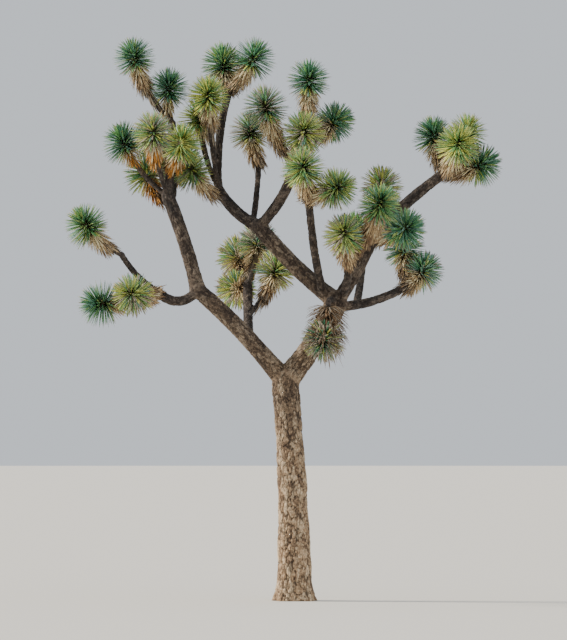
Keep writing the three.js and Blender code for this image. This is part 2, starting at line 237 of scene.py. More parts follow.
class Line:
    """A bent limb line with an even pace along it, and the level direction square to it."""

    def __init__(self, start, control, end, side):
        self.side = side
        t = np.linspace(0, 1, 101)[:, None]
        start, control, end = (np.array(p) for p in (start, control, end))
        self.points = (1 - t) ** 2 * start + 2 * t * (1 - t) * control + t**2 * end
        self.slopes = 2 * (1 - t) * (control - start) + 2 * t * (end - control)
        steps = np.linalg.norm(np.diff(self.points, axis=0), axis=1)
        self.paces = np.concatenate([[0], np.cumsum(steps)])
        self.length = self.paces[-1]

    def read(self, table, share):
        """A table's value at a share of the line's length."""
        at = share * self.length
        return Vector([float(np.interp(at, self.paces, table[:, k])) for k in range(3)])

    def point(self, share):
        return self.read(self.points, share)

    def tangent(self, share):
        return self.read(self.slopes, share).normalized()


def towards(heading, rise):
    """The direction of a heading and a rise in degrees."""
    turn, climb = math.radians(heading), math.radians(rise)
    return Vector((math.cos(turn) * math.cos(climb), math.sin(turn) * math.cos(climb), math.sin(climb)))


def bent_line(start, direction, length, bow):
    """A line from start whose middle lies bow above its chord."""
    side = UP.cross(direction).normalized()
    end = start + direction * length
    control = (start + end) / 2 + direction.cross(side) * 2 * bow
    return Line(start, control, end, side)


def tufts_carried(name, beyond=0.0):
    """How many tufts grow from a limb, beyond a place along it."""
    limbs = [child for child, limb in LIMBS.items() if limb[0] == name and limb[1] >= beyond]
    masses = [mass for mass in MASSES.values() if mass[0] == name and mass[1] >= beyond]
    return sum(tufts_carried(child) for child in limbs) + sum(len(mass[6]) for mass in masses)


def wood_radius(tufts):
    """The radius of a limb that carries so many tufts."""
    return TWIG_RADIUS * max(1, tufts) ** PIPE_POWER


class Stalk:
    """One stem from its limb to the heart of its tuft."""

    def __init__(self, mass, mix, start, direction, length):
        self.mass = mass
        self.mix = mix
        self.line = bent_line(start, direction, length, -STALK_SAG * length)
        self.heart = self.line.point(1)
        self.axis = self.line.tangent(1)
        self.sleeve_start = max(0.12, 1 - SLEEVE_LENGTH / length)  # as a share of the stalk


def grow_tree():
    """The trunk's and limbs' lines, each with its root and tip radius, and the stalks of every mass."""
    trunk_top = Vector((FORK_OFFSET, 0, FORK_HEIGHT))
    bend = Vector((0, 0, FORK_HEIGHT * TRUNK_BEND))
    trunk = Line(Vector((0, 0, TRUNK_START)), bend, trunk_top, Vector((0, 1, 0)))
    limbs = {"trunk": (trunk, TRUNK_RADIUS, wood_radius(tufts_carried("trunk")))}
    for name, (parent, at, heading, rise, length, bow) in LIMBS.items():
        start = limbs[parent][0].point(at)
        line = bent_line(start, towards(heading, rise), length * MM, bow * MM)
        limbs[name] = (line, wood_radius(tufts_carried(name)), wood_radius(tufts_carried(name, TIP_SHARE)))
    stalks = []
    for name, (parent, at, heading, rise, spread, roll, lengths) in MASSES.items():
        start = limbs[parent][0].point(at)
        ahead = towards(heading, rise)
        side = UP.cross(ahead).normalized()
        leader = len(lengths) != 2  # the first stalk grows straight on, except in a pair
        ring = len(lengths) - (1 if leader else 0)
        for i, length in enumerate(lengths):
            direction = ahead.copy()
            if not leader or i > 0:
                turn = math.radians(roll) + 2 * math.pi * (i - 1 if leader else i) / ring
                hinge = Matrix.Rotation(-turn, 3, ahead) @ side
                direction = Matrix.Rotation(-math.radians(spread), 3, hinge) @ direction
            mix = TUFT_MIXES.get(name, ["fresh"] * len(lengths))[i]
            stalks.append(Stalk(name, mix, start, direction, length * MM))
    return limbs, stalks


WOOD, STALKS = grow_tree()

# Mesh helpers.


def loft(bm, line, stations, sides, lobes=0):
    """A closed tube. A station is a share of its line, a radius, a distance past it and a lobe's depth."""
    rings = []
    for share, radius, past, lobe in stations:
        tangent = line.tangent(share)
        across = line.side.cross(tangent)
        centre = line.point(share) + tangent * past
        place = Matrix((line.side, across, tangent)).transposed().to_4x4()
        place.translation = centre
        made = bmesh.ops.create_circle(bm, segments=sides, radius=radius, matrix=place)
        for vert in made["verts"]:
            arm = vert.co - centre
            turn = math.atan2(arm.dot(across), arm.dot(line.side))
            vert.co = centre + arm * (1 + lobe * math.cos(lobes * turn))
        rings.append(made["verts"])
    edge_loops = []
    for ring in rings:
        inside = set(ring)
        around = dict.fromkeys(e for v in ring for e in v.link_edges)
        edge_loops.append([e for e in around if set(e.verts) <= inside])
    for lower, upper in zip(edge_loops, edge_loops[1:]):
        bmesh.ops.bridge_loops(bm, edges=lower + upper)
    for ring in (rings[0], rings[-1]):
        bmesh.ops.contextual_create(bm, geom=ring)


def mesh_from(bm, name):
    mesh = bpy.data.meshes.new(name)
    bm.to_mesh(mesh)
    bm.free()
    return mesh


def add_object(name, mesh):
    obj = bpy.data.objects.new(name, mesh)
    bpy.context.scene.collection.objects.link(obj)
    return obj


def finish_piece(obj, slot, *nodes):
    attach(obj, "root")
    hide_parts(*nodes)


# Materials.


def add_node(tree, kind, settings=None, links=None):
    """Adds a node, sets its properties and unlinked inputs, and links its other inputs."""
    made = tree.nodes.new(kind)
    for key, value in (settings or {}).items():
        if isinstance(key, str) and hasattr(made, key):
            setattr(made, key, value)
        else:
            made.inputs[key].default_value = value
    for key, source in (links or {}).items():
        tree.links.new(source, made.inputs[key])
    return made


def ramp(tree, source, stops):
    """A colour ramp through stops of a place and a colour."""
    made = add_node(tree, "ShaderNodeValToRGB", links={"Fac": source})
    elements = made.color_ramp.elements
    while len(elements) < len(stops):
        elements.new(0.5)
    for element, (place, colour) in zip(elements, stops):
        element.position = place
        element.color = (*colour, 1)
    return made.outputs["Color"]


def new_material(name):
    material = bpy.data.materials.new(name)
    material.use_nodes = True
    tree = material.node_tree
    shader = tree.nodes["Principled BSDF"]
    return material, tree, shader


def fissured_bark(settings):
    """Dead corky bark, split by growth: weathered plates checked into squares, and cracks between them
    painted dark as painted shade.

    A colour mix's sockets 6 and 7 are its two colours, and its output 2 is the mixed one.
    """
    material, tree, shader = new_material("fissured_bark")
    place = add_node(tree, "ShaderNodeTexCoord").outputs["Object"]
    grain = add_node(tree, "ShaderNodeAttribute", {"attribute_name": "grain"}).outputs["Vector"]
    crack, age_and_shade, tone, own = (
        add_node(tree, "ShaderNodeAttribute", {"attribute_name": name}).outputs["Fac"]
        for name in ("crack", "age_and_shade", "tone", "own")
    )
    # Blotches about 120 mm across and a weathered mottle of about 25 mm.
    blotch = add_node(tree, "ShaderNodeTexNoise", {"Scale": 8.0, "Detail": 3.0}, {"Vector": place})
    mottle = add_node(tree, "ShaderNodeTexNoise", {"Scale": 40.0, "Detail": 4.0}, {"Vector": place})
    # Fibres 7 mm wide and six times as long, which run along the limb, and checks of about 20 by 45 mm.
    fibre_grain = add_node(tree, "ShaderNodeMapping", {"Scale": (1.0, 1.0, 0.16)}, {"Vector": grain})
    fibre = add_node(
        tree, "ShaderNodeTexNoise", {"Scale": 140.0, "Detail": 3.0}, {"Vector": fibre_grain.outputs["Vector"]}
    ).outputs["Fac"]
    wander = add_node(
        tree,
        "ShaderNodeVectorMath",
        {"operation": "MULTIPLY_ADD", 1: (0.02, 0.02, 0.02)},
        {0: mottle.outputs["Color"], 2: grain},
    )
    check_grain = add_node(
        tree, "ShaderNodeMapping", {"Scale": (1.0, 1.0, 0.45)}, {"Vector": wander.outputs["Vector"]}
    )
    checks = add_node(
        tree,
        "ShaderNodeTexVoronoi",
        {"feature": "DISTANCE_TO_EDGE", "Scale": 50.0},
        {"Vector": check_grain.outputs["Vector"]},
    )
    check = add_node(
        tree, "ShaderNodeMapRange", {"From Min": 0.0, "From Max": 0.16}, {"Value": checks.outputs["Distance"]}
    ).outputs["Result"]
    # The blotches lighten and darken whole groups of plates.
    patches = add_node(
        tree,
        "ShaderNodeMapRange",
        {"From Min": 0.35, "From Max": 0.65, "To Min": -0.13, "To Max": 0.13},
        {"Value": blotch.outputs["Fac"]},
    ).outputs["Result"]
    patchy = add_node(
        tree, "ShaderNodeMath", {"operation": "ADD"}, {0: patches, 1: mottle.outputs["Fac"]}
    ).outputs[0]
    # Each plate has its own tone, and the blotches warm it. Young wood is dark, partly its own darker bark
    # and partly painted shade for limbs in the crown's shade, and old wood is pale.
    mixed = add_node(
        tree, "ShaderNodeMath", {"operation": "MULTIPLY_ADD", 1: 0.42}, {0: tone, 2: patchy}
    ).outputs[0]
    shaded_young_stops = [(0.45, linear("#282422")), (0.7, linear("#413b38")), (0.95, linear("#686059"))]
    old_stops = [(0.45, linear("#75604d")), (0.7, tuple(settings.bark_colour)), (0.95, linear("#dfccae"))]
    plates = add_node(
        tree,
        "ShaderNodeMix",
        {"data_type": "RGBA"},
        {"Factor": age_and_shade, 6: ramp(tree, mixed, shaded_young_stops), 7: ramp(tree, mixed, old_stops)},
    ).outputs[2]
    warm = add_node(
        tree,
        "ShaderNodeMix",
        {"data_type": "RGBA", "blend_type": "MULTIPLY", 7: (1.0, 0.86, 0.72, 1)},
        {"Factor": blotch.outputs["Fac"], 6: plates},
    ).outputs[2]
    # Fibres and checks darken the plates, except at a fork's seam, which has none.
    worn = add_node(
        tree,
        "ShaderNodeMapRange",
        {"From Min": 0.3, "From Max": 0.7, "To Min": 0.72, "To Max": 1.28},
        {"Value": fibre},
    ).outputs["Result"]
    edge = add_node(
        tree, "ShaderNodeMath", {"operation": "MULTIPLY_ADD", 1: 0.4, 2: 0.6}, {0: check}
    ).outputs[0]
    value = add_node(tree, "ShaderNodeMath", {"operation": "MULTIPLY"}, {0: worn, 1: edge}).outputs[0]
    fibrous = add_node(
        tree, "ShaderNodeHueSaturation", {"Hue": 0.5}, {"Value": value, "Color": warm, "Fac": own}
    ).outputs["Color"]
    # The cracks are painted near-black brown, as painted shade in them.
    depth = ramp(tree, crack, [(0.0, (0, 0, 0)), (0.5, (1, 1, 1))])
    colour = add_node(
        tree,
        "ShaderNodeMix",
        {"data_type": "RGBA", 6: (*linear("#2e231b"), 1)},
        {"Factor": depth, 7: fibrous},
    ).outputs[2]
    tree.links.new(colour, shader.inputs["Base Color"])
    carved = add_node(
        tree, "ShaderNodeMath", {"operation": "MULTIPLY_ADD", 1: 0.8}, {0: check, 2: fibre}
    ).outputs[0]
    height = add_node(
        tree, "ShaderNodeMath", {"operation": "MULTIPLY_ADD"}, {0: carved, 1: own, 2: mottle.outputs["Fac"]}
    )
    bump = add_node(
        tree, "ShaderNodeBump", {"Strength": 0.8, "Distance": 5 * MM}, {"Height": height.outputs[0]}
    )
    tree.links.new(bump.outputs["Normal"], shader.inputs["Normal"])
    shader.inputs["Roughness"].default_value = 0.92
    shader.inputs["IOR"].default_value = 1.45
    return material


def leaf_material(name, root, middle, tip, roughness):
    """A leaf coloured from root to tip by its own attribute, lighter or darker by a mottle."""
    material, tree, shader = new_material(name)
    along = add_node(tree, "ShaderNodeAttribute", {"attribute_name": "along"}).outputs["Fac"]
    place = add_node(tree, "ShaderNodeTexCoord").outputs["Object"]
    # Mottle about 30 mm across, which tells one leaf from the next.
    mottle = add_node(tree, "ShaderNodeTexNoise", {"Scale": 35.0, "Detail": 2.0}, {"Vector": place})
    blend = ramp(tree, along, [(0.0, root), (0.2, middle), (0.85, middle), (0.97, tip)])
    value = add_node(
        tree,
        "ShaderNodeMapRange",
        {"From Min": 0.3, "From Max": 0.7, "To Min": 0.75, "To Max": 1.25},
        {"Value": mottle.outputs["Fac"]},
    )
    colour = add_node(
        tree,
        "ShaderNodeHueSaturation",
        {"Hue": 0.5, "Saturation": 1.06, "Fac": 1.0},
        {"Value": value.outputs["Result"], "Color": blend},
    )
    tree.links.new(colour.outputs["Color"], shader.inputs["Base Color"])
    shader.inputs["Roughness"].default_value = roughness
    shader.inputs["IOR"].default_value = 1.42
    return material


# Bark.


def limb_stations(name, line, root_radius, tip_radius):
    """Rings of a limb, swollen at its root, or of the trunk with its lobed flare and its waist."""
    rounded_end = [(1, tip_radius * 0.8, tip_radius * 0.45, 0), (1, tip_radius * 0.4, tip_radius * 0.7, 0)]
    stations = []
    if name != "trunk":
        steps = 12
        for i in range(steps + 1):
            share = (i / steps) ** 1.5
            swelling = 1 + ROOT_SWELLING * math.exp(-share * line.length / (1.1 * root_radius))
            stations.append((share, (root_radius + (tip_radius - root_radius) * share) * swelling, 0, 0))
        return stations + rounded_end
    stations.append((0, FLARE_RADIUS * 1.03, -BURIED, FLARE_LOBE_DEPTH))
    flare_share = FLARE_HEIGHT / FORK_HEIGHT
    flare_steps, shaft_steps = 8, 10
    for i in range(flare_steps):
        spread = (1 - i / flare_steps) ** 2
        radius = TRUNK_RADIUS + (FLARE_RADIUS - TRUNK_RADIUS) * spread
        stations.append((flare_share * i / flare_steps, radius, 0, FLARE_LOBE_DEPTH * spread))
    for i in range(shaft_steps + 1):
        along = i / shaft_steps
        waist = math.sin(along * math.pi) * TRUNK_WAIST
        radius = TRUNK_RADIUS + (tip_radius - TRUNK_RADIUS) * along**0.8 - waist
        stations.append((flare_share + (1 - flare_share) * along, radius, 0, 0))
    return stations + rounded_end


def rough_wood():
    """Every limb and bare stem as a closed tube, which runs into its parent's."""
    bm = bmesh.new()
    for name, (line, root, tip) in WOOD.items():
        sides = 20 if name == "trunk" else 14
        loft(bm, line, limb_stations(name, line, root, tip), sides, FLARE_LOBES)
    for stalk in STALKS:
        last = min(1, stalk.sleeve_start + 0.15)  # the bare stem runs a little way into its sleeve
        rings = [(last * i / 6, TWIG_RADIUS * (0.8 + 0.2 * i / 6), 0, 0) for i in range(7)]
        loft(bm, stalk.line, rings, 10)
    bmesh.ops.recalc_face_normals(bm, faces=bm.faces)
    return mesh_from(bm, "rough_wood")


def fused_wood(context, grid):
    """The tubes as one skin, eased at the forks."""
    holder = add_object("rough_wood", rough_wood())
    fuse = holder.modifiers.new("fuse", "REMESH")
    fuse.mode = "VOXEL"
    fuse.voxel_size = grid * 1
    ease = holder.modifiers.new("ease", "SMOOTH")
    ease.factor = 0.5
    ease.iterations = 6
    seen = holder.evaluated_get(context.evaluated_depsgraph_get())
    wood = bpy.data.meshes.new_from_object(seen)
    bpy.data.objects.remove(holder)
    return wood


def bark_guides():
    """Points along every limb and stalk, each a row of numbers.

    A row is the place, the side, across and tangent directions, the place along the bark's pattern, the
    radius, the width of a plate and the number of the line.
    """
    spacing = 0.035
    pattern_step = 7.3  # so that each line's plates start elsewhere
    rows = []
    lines = list(WOOD.values())
    lines += [(stalk.line, TWIG_RADIUS * 0.8, TWIG_RADIUS) for stalk in STALKS]
    for number, (line, root, tip) in enumerate(lines):
        count = max(6, round(line.length / spacing))
        plate_width = 0.021 + 0.16 * (root + tip) / 2
        for i in range(count + 1):
            share = i / count
            tangent = line.tangent(share)
            along = number * pattern_step + share * line.length
            radius = root + (tip - root) * share
            across = line.side.cross(tangent)
            place = line.point(share)
            rows.append([*place, *line.side, *across, *tangent, along, radius, plate_width, number])
    return np.array(rows, dtype=np.float32)


def nearest_guides(points, guides):
    """Each point's nearest guide, the radius there, blended across a fork, and how far off a fork it is."""
    block_size = 8000  # points at a time, to spare memory
    blend = 45 * MM
    found = np.empty(len(points), dtype=np.int64)
    girth = np.empty(len(points), dtype=np.float32)
    apart = np.empty(len(points), dtype=np.float32)
    places, radii, numbers = guides[:, 0:3], guides[:, 13], guides[:, 15]
    for first in range(0, len(points), block_size):
        here = slice(first, first + block_size)
        block = points[here]
        square = (block**2).sum(1)[:, None] + (places**2).sum(1)[None, :] - 2 * block @ places.T
        gaps = np.sqrt(np.maximum(square, 0)) - radii[None, :]
        best = gaps.argmin(1)
        least = gaps.min(1, keepdims=True)
        weights = np.exp(-(gaps - least) / blend)
        others = np.where(numbers[None, :] == numbers[best][:, None], np.inf, gaps)
        found[here] = best
        girth[here] = (weights @ radii) / weights.sum(1)
        apart[here] = others.min(1) - least[:, 0]
    return found, girth, apart


def eased(share):
    """A share from 0 to 1 that starts and stops gently."""
    return share * share * (3 - 2 * share)


def carve_bark(mesh, settings):
    """Moves the mesh's skin in and out into plates and cracks, and keeps what the bark's material reads.

    Its attributes are crack (0 in a crack, where the material paints dark painted shade), age (how old the
    bark is, lowered up the trunk as painted shade under the crown), tone (a plate's own), own (0 at a fork's
    seam) and grain, the place in metres across and along the limb.
    """
    count = len(mesh.vertices)
    points = np.empty(count * 3, dtype=np.float32)
    normals = np.empty(count * 3, dtype=np.float32)
    mesh.vertices.foreach_get("co", points)
    mesh.vertices.foreach_get("normal", normals)
    points, normals = points.reshape(-1, 3), normals.reshape(-1, 3)
    guides = bark_guides()
    nearest, radius, apart = nearest_guides(points, guides)
    rows = guides[nearest]
    arm = points - rows[:, 0:3]
    grain = np.stack([(arm * rows[:, a : a + 3]).sum(1) for a in (3, 6, 9)], 1)
    grain[:, 2] += rows[:, 12]
    # A plate is about two and a half times as long as it is wide.
    cells = grain / rows[:, 14:15] * np.array([1, 1, 0.42], dtype=np.float32)
    noise.seed_set(5)  # otherwise the clock seeds the vector noise
    crack, relief, tone, swell, fold = (np.empty(count, dtype=np.float32) for _ in range(5))
    for i, (spot, place) in enumerate(zip(cells.tolist(), points.tolist())):
        spot, place = Vector(spot), Vector(place)
        swell[i] = noise.noise(place * 4.5)  # dents and bulges of about 200 mm
        fold[i] = noise.noise(place * 26)  # folds of about 40 mm
        warped = spot + 0.4 * noise.noise_vector(spot * 1.3) + 0.16 * noise.noise_vector(spot * 4.1)
        near, centres = noise.voronoi(warped, distance_metric="DISTANCE")
        patch = noise.noise(spot * 0.35)  # whole groups of plates, raised and more deeply split
        crack[i] = min(1.0, (near[1] - near[0]) / (0.28 + 0.18 * patch))
        tone[i] = noise.cell(centres[0] * 9.7)
        relief[i] = noise.noise(spot * 3.7) * 0.3 + patch * 0.6 + tone[i] * 0.45
    # Where two limbs meet, their plates run out into folded young bark.
    own = eased(np.clip(apart / (16 * MM), 0, 1))
    crack = 0.75 + (crack - 0.75) * own
    tone *= own
    relief = relief * own + 0.8 * fold * (1 - own)
    depth = settings.bark_depth * np.clip(radius / TRUNK_RADIUS, 0.4, 1.05)
    points += normals * (depth * ((eased(crack) - 0.8) + 0.5 * relief) + 0.09 * radius * swell)[:, None]
    # Thick wood has the oldest, palest bark, and the trunk's is painted darker towards its fork, as painted
    # shade under the crown, to meet the boughs'.
    # Painted shade: the bark darkens from 1 m up to the fork, where the crown shades the trunk.
    climb = eased(np.clip((points[:, 2] - 1.0) / 0.9, 0, 1))
    age_and_shade = np.minimum(np.clip((radius - 0.052) / 0.1, 0, 1), 1 - 0.62 * climb)
    mesh.vertices.foreach_set("co", points.ravel())
    for name, values in (("crack", crack), ("age_and_shade", age_and_shade), ("tone", tone * 0.5 + 0.5), ("own", own)):
        mesh.attributes.new(name, "FLOAT", "POINT").data.foreach_set("value", values)
    grains = mesh.attributes.new("grain", "FLOAT_VECTOR", "POINT")
    grains.data.foreach_set("vector", grain.astype(np.float32).ravel())
    mesh.update()


def cut_piece(wood, name, planes, material):
    """The part of the bark that lies before every plane, closed where it is cut."""
    bm = bmesh.new()
    bm.from_mesh(wood)
    for face in bm.faces:
        face.smooth = True
    for place, normal in planes:
        geom = [*bm.verts, *bm.edges, *bm.faces]
        cut = bmesh.ops.bisect_plane(bm, geom=geom, plane_co=place, plane_no=normal, clear_outer=True)
        rim = [e for e in cut["geom_cut"] if isinstance(e, bmesh.types.BMEdge)]
        for face in bmesh.ops.holes_fill(bm, edges=rim)["faces"]:
            face.smooth = False
    piece = mesh_from(bm, name)
    piece.materials.append(material)
    return add_object(name, piece)


class TREE_OT_bark(bpy.types.Operator):
    """Fuses the trunk, boughs and bare stems into one wood, and carves its fissured bark"""

    bl_idname = "joshua_tree.bark"
    bl_label = "Grow bark"

    def execute(self, context):
        settings = context.scene.joshua_tree
        wood = fused_wood(context, settings.bark_grid)
        carve_bark(wood, settings)
        bark = fissured_bark(settings)
        split, across = Vector((0, 0, BARK_SPLIT_HEIGHT)), Vector((BARK_SPLIT_ACROSS, 0, 0))
        rightwards = Vector((1, 0, 0))
        trunk_planes = [(Vector((0, 0, 0)), -UP), (split, UP)]
        left_planes = [(split, -UP), (across, rightwards)]
        right_planes = [(split, -UP), (across, -rightwards)]
        right_limbs = [name for name in LIMBS if name not in LEFT_LIMBS]
        finish_piece(cut_piece(wood, "trunk_bark", trunk_planes, bark), "bark", "trunk")
        finish_piece(cut_piece(wood, "left_bark", left_planes, bark), "bark", *LEFT_LIMBS)
        finish_piece(cut_piece(wood, "right_bark", right_planes, bark), "bark", *right_limbs)
        return {"FINISHED"}


# Leaves.


class LeafBatch:
    """Leaves of one kind, gathered as arrays and joined into one mesh.

    A leaf is three three-cornered rings, at shares of its length and with shares of its width, and a point.
    """

    SHARES = (0.0, 0.42, 0.82)
    WIDTHS = (0.85, 1.0, 0.74)
    KEEL = 0.28  # how far the keel stands out, as a share of the width

    def __init__(self, name, materials):
        self.name = name
        self.materials = materials
        self.rows = []

    def add(self, root, direction, outward, length, width, bend, shade):
        """Bend is how far the tip is pushed aside from the straight line, towards the ground or the stem."""
        self.rows.append((*root, *direction, *outward, length, width, *bend, shade))

    def build(self):
        rows = np.array(self.rows)
        root, direction, outward = rows[:, 0:3], rows[:, 3:6], rows[:, 6:9]
        length, width, bend, shade = rows[:, 9:10], rows[:, 10:11], rows[:, 11:14], rows[:, 14]
        across = np.cross(direction, outward)
        across /= np.maximum(np.linalg.norm(across, axis=1, keepdims=True), 1e-9)
        keel = np.cross(direction, across)
        corners = []
        for share, wide in zip(self.SHARES, self.WIDTHS):
            spine = root + direction * length * share + bend * share**2
            for side, lift in ((-0.5, 0.0), (0.5, 0.0), (0.0, self.KEEL)):
                corners.append(spine + (across * side + keel * lift) * width * wide)
        corners.append(root + direction * length + bend)
        count, each = len(rows), len(corners)
        verts = np.stack(corners, 1).reshape(-1, 3)
        quads, triangles = [], [(0, 2, 1)]
        for ring in (0, 3):
            for a, b in ((0, 1), (1, 2), (2, 0)):
                quads.append((ring + a, ring + b, ring + 3 + b, ring + 3 + a))
        triangles += [(6, 7, 9), (7, 8, 9), (8, 6, 9)]
        first = np.arange(count)[:, None, None] * each
        corners_each = [(first + np.array(faces)).reshape(count, -1) for faces in (quads, triangles)]
        loops = np.concatenate(corners_each, 1).ravel()
        sizes = np.tile([4] * len(quads) + [3] * len(triangles), count)
        starts = np.concatenate([[0], np.cumsum(sizes)[:-1]])
        mesh = bpy.data.meshes.new(self.name)
        mesh.vertices.add(len(verts))
        mesh.vertices.foreach_set("co", verts.astype(np.float32).ravel())
        mesh.loops.add(len(loops))
        mesh.loops.foreach_set("vertex_index", loops.astype(np.int32))
        mesh.polygons.add(len(sizes))
        mesh.polygons.foreach_set("loop_start", starts.astype(np.int32))
        faces_each = len(quads) + len(triangles)
        mesh.polygons.foreach_set("material_index", np.repeat(shade, faces_each).astype(np.int32))
        mesh.update(calc_edges=True)
        along = np.tile(np.repeat([*self.SHARES, 1.0], [3, 3, 3, 1]), count)
        mesh.attributes.new("along", "FLOAT", "POINT").data.foreach_set("value", along.astype(np.float32))
        for material in self.materials:
            mesh.materials.append(material)
        return add_object(self.name, mesh)


def wood_samples():
    """Points along the limbs and stalks with their radius and, for a stalk, its mass."""
    limb_steps, stalk_steps = 30, 15
    rows, owners = [], []
    for line, root, tip in WOOD.values():
        for i in range(limb_steps + 1):
            rows.append([*line.point(i / limb_steps), root + (tip - root) * i / limb_steps])
            owners.append("")
    for stalk in STALKS:
        for i in range(stalk_steps + 1):
            rows.append([*stalk.line.point(i / stalk_steps), TWIG_RADIUS])
            owners.append(stalk.mass)
    return np.array(rows), np.array(owners)


class TuftSpace:
    """The space of a mass: nearer to its own hearts than to any other's, and off the wood."""

    TESTED = (0.45, 0.75, 1.0)  # shares of a leaf's length

    def __init__(self):
        self.hearts = np.array([list(stalk.heart) for stalk in STALKS])
        self.owners = np.array([stalk.mass for stalk in STALKS])
        self.samples, self.sample_owners = wood_samples()

    def fits(self, mass, root, direction, length, clear):
        for share in self.TESTED:
            point = np.array(root + direction * length * share)
            far = np.linalg.norm(self.hearts - point, axis=1)
            if far[self.owners != mass].min() < far[self.owners == mass].min():
                return False
            if point[2] < clear:
                return False
            other = self.samples[self.sample_owners != mass]
            if (np.linalg.norm(other[:, :3] - point, axis=1) < other[:, 3] + clear).any():
                return False
        return True


def side_of(mass):
    return "left" if mass in LEFT_MASSES else "right"


def leaf_batches(kind, materials):
    """A batch of a kind of leaf for each side of the tree."""
    return {side: LeafBatch(f"{side}_{kind}_leaves", materials) for side in ("left", "right")}


def finish_batches(batches):
    for side, batch in batches.items():
        finish_piece(batch.build(), "foliage", *[mass for mass in MASSES if side_of(mass) == side])


def square_to(axis, turn, side):
    """The direction square to the axis that lies a turn away from side."""
    return Matrix.Rotation(turn, 3, axis) @ side


def leaf_reach(root, direction, heart, reach):
    """How long a leaf from root may be before its tip is further than reach from the heart."""
    arm = root - heart
    half = arm.dot(direction)
    return -half + math.sqrt(max(0, half * half - arm.length_squared + reach * reach))


class TREE_OT_live_leaves(bpy.types.Operator):
    """Sets a rosette of stiff dagger leaves round the heart of every tuft"""

    bl_idname = "joshua_tree.live_leaves"
    bl_label = "Grow living leaves"

    def execute(self, context):
        settings = context.scene.joshua_tree
        middle = tuple(settings.leaf_colour)
        tip = linear("#7a5c38")
        base = linear("#b9bb88")
        # Smooth waxy leaves with a soft sheen: the sap green turns straw at the root and brown at the point.
        materials = [
            leaf_material("waxy_green_leaf", base, middle, tip, 0.42),
            leaf_material("waxy_dark_leaf", base, linear("#548869"), tip, 0.42),
            leaf_material("waxy_blue_leaf", base, linear("#7da594"), tip, 0.45),
            leaf_material("waxy_olive_leaf", base, linear("#a1b571"), tip, 0.45),
            leaf_material("waxy_yellowing_leaf", base, linear("#c5c96f"), tip, 0.5),
            leaf_material("sun_bleached_leaf", base, linear("#aba392"), tip, 0.6),
        ]
        clearance = 4 * MM
        widest = math.cos(math.radians(122))  # how far the oldest living leaves lean back
        random.seed(11)
        space = TuftSpace()
        batches = leaf_batches("live", materials)
        for stalk in STALKS:
            vigour = random.uniform(0.93, 1.03)
            total = settings.leaves_per_tuft
            for i in range(total):
                rank = (i + 0.5) / total  # 0 for the youngest leaf, at the tip, and 1 for the oldest
                lean = math.acos(1 + (widest - 1) * rank**0.95) + random.gauss(0, 0.09)
                outward = square_to(stalk.axis, i * GOLDEN_ANGLE + random.gauss(0, 0.16), stalk.line.side)
                direction = stalk.axis * math.cos(lean) + outward * math.sin(lean)
                # The youngest crowd beyond the heart, and the oldest stand round a thicker stem behind it.
                stem = (12 + 16 * rank**0.5) * MM
                root = stalk.heart + stalk.axis * (75 - 130 * rank) * MM + outward * stem
                reach = settings.rosette_reach * vigour * random.triangular(0.8, 1.04, 1.0)
                length = leaf_reach(root, direction, stalk.heart, reach)
                if not space.fits(stalk.mass, root, direction, length, clearance):
                    continue
                width = settings.leaf_width * random.uniform(0.85, 1.15) * min(1, 0.65 + rank)
                bend = Vector((0, 0, -1)) * length * 0.07 * rank * random.uniform(0.3, 1.7)
                shade = random.choices(range(len(materials)), weights=LEAF_MIXES[stalk.mix])[0]
                if rank > 0.82 and random.random() < (rank - 0.8) * 3:
                    shade = random.choice((YELLOWING, BLEACHED))
                batches[side_of(stalk.mass)].add(root, direction, outward, length, width, bend, shade)
        finish_batches(batches)
        return {"FINISHED"}


